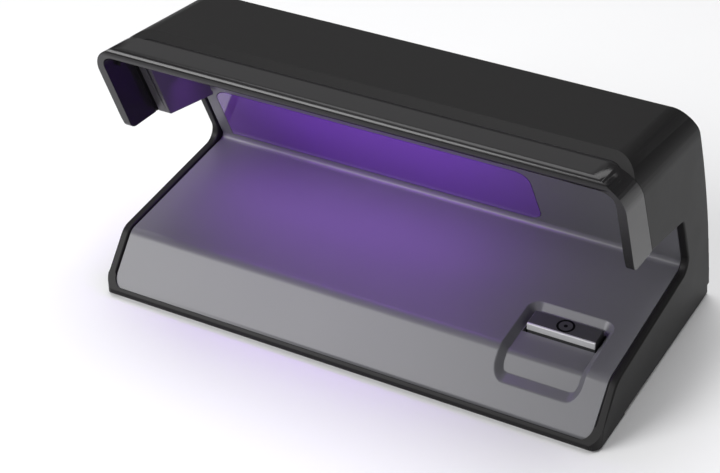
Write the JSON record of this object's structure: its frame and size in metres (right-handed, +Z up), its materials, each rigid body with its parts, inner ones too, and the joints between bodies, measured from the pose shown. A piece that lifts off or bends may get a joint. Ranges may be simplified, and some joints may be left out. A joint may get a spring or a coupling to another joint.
{
  "type": "counterfeit bill detector",
  "caption": "Tabletop ultraviolet banknote checker: C-shaped case with a lamp in its hood, a sloping grey note bed, a dark window panel and a push button.",
  "frame": {"origin": "bottom centre of the whole object, on the ground under its feet", "axes": "+X along the length, to the right seen from the open front; +Y from the open front to the closed back; +Z up"},
  "size_m": [0.206, 0.11, 0.106],
  "materials": {
    "case_black": "satin, fine moulded grain",
    "bezel_black": "glossy",
    "tray_grey": "satin",
    "window_dark": "polished, violet filter",
    "liner_grey": "satin",
    "button_grey": "satin",
    "trim_bright": "bright plated",
    "switch_white": "satin",
    "switch_black": "satin",
    "spring_steel": "plain",
    "board_green": "solder mask",
    "tube_glass": "coated",
    "reflector_sheet": "bright",
    "copper_winding": "enamelled wire",
    "capacitor_blue": "sleeve",
    "foot_rubber": "matt",
    "wire_white": "sleeve",
    "wire_brown": "sleeve",
    "wire_red": "sleeve",
    "label_silver": "blank foil"
  },
  "bodies": {
    "case": {"outer_shell": "case_black", "front_bezel": "bezel_black", "tray": "tray_grey", "window_panel": "window_dark", "hood_liner": "liner_grey", "base_plate": "case_black", "button_spring": "spring_steel", "switch_body": "switch_black", "switch_board": "board_green", "uv_tube": "tube_glass", "tube_base": "switch_white", "lamp_holder": "switch_white", "tube_clip": "spring_steel", "reflector": "reflector_sheet", "ballast_board": "board_green", "ballast_choke": "copper_winding", "ballast_capacitors": "capacitor_blue", "ballast_transistors": "switch_black", "power_inlet": "switch_black", "inlet_pins": "trim_bright", "rubber_feet": "foot_rubber", "base_screws": "spring_steel", "liner_screws": "spring_steel", "lamp_wires": "wire_white", "inlet_wires": "wire_brown", "switch_wires": "wire_red", "rating_label": "label_silver"},
    "power_button": {"button_cap": "button_grey", "button_trim": "trim_bright", "switch_plunger": "switch_white"}
  },
  "joints": [
    {"name": "button_press", "type": "slide", "parent": "case", "child": "power_button", "axis": [0, 0, -1], "range_m": [0, 0.0015], "stiffness_N_per_m": 400, "deforming": ["button_spring"]}
  ]
}
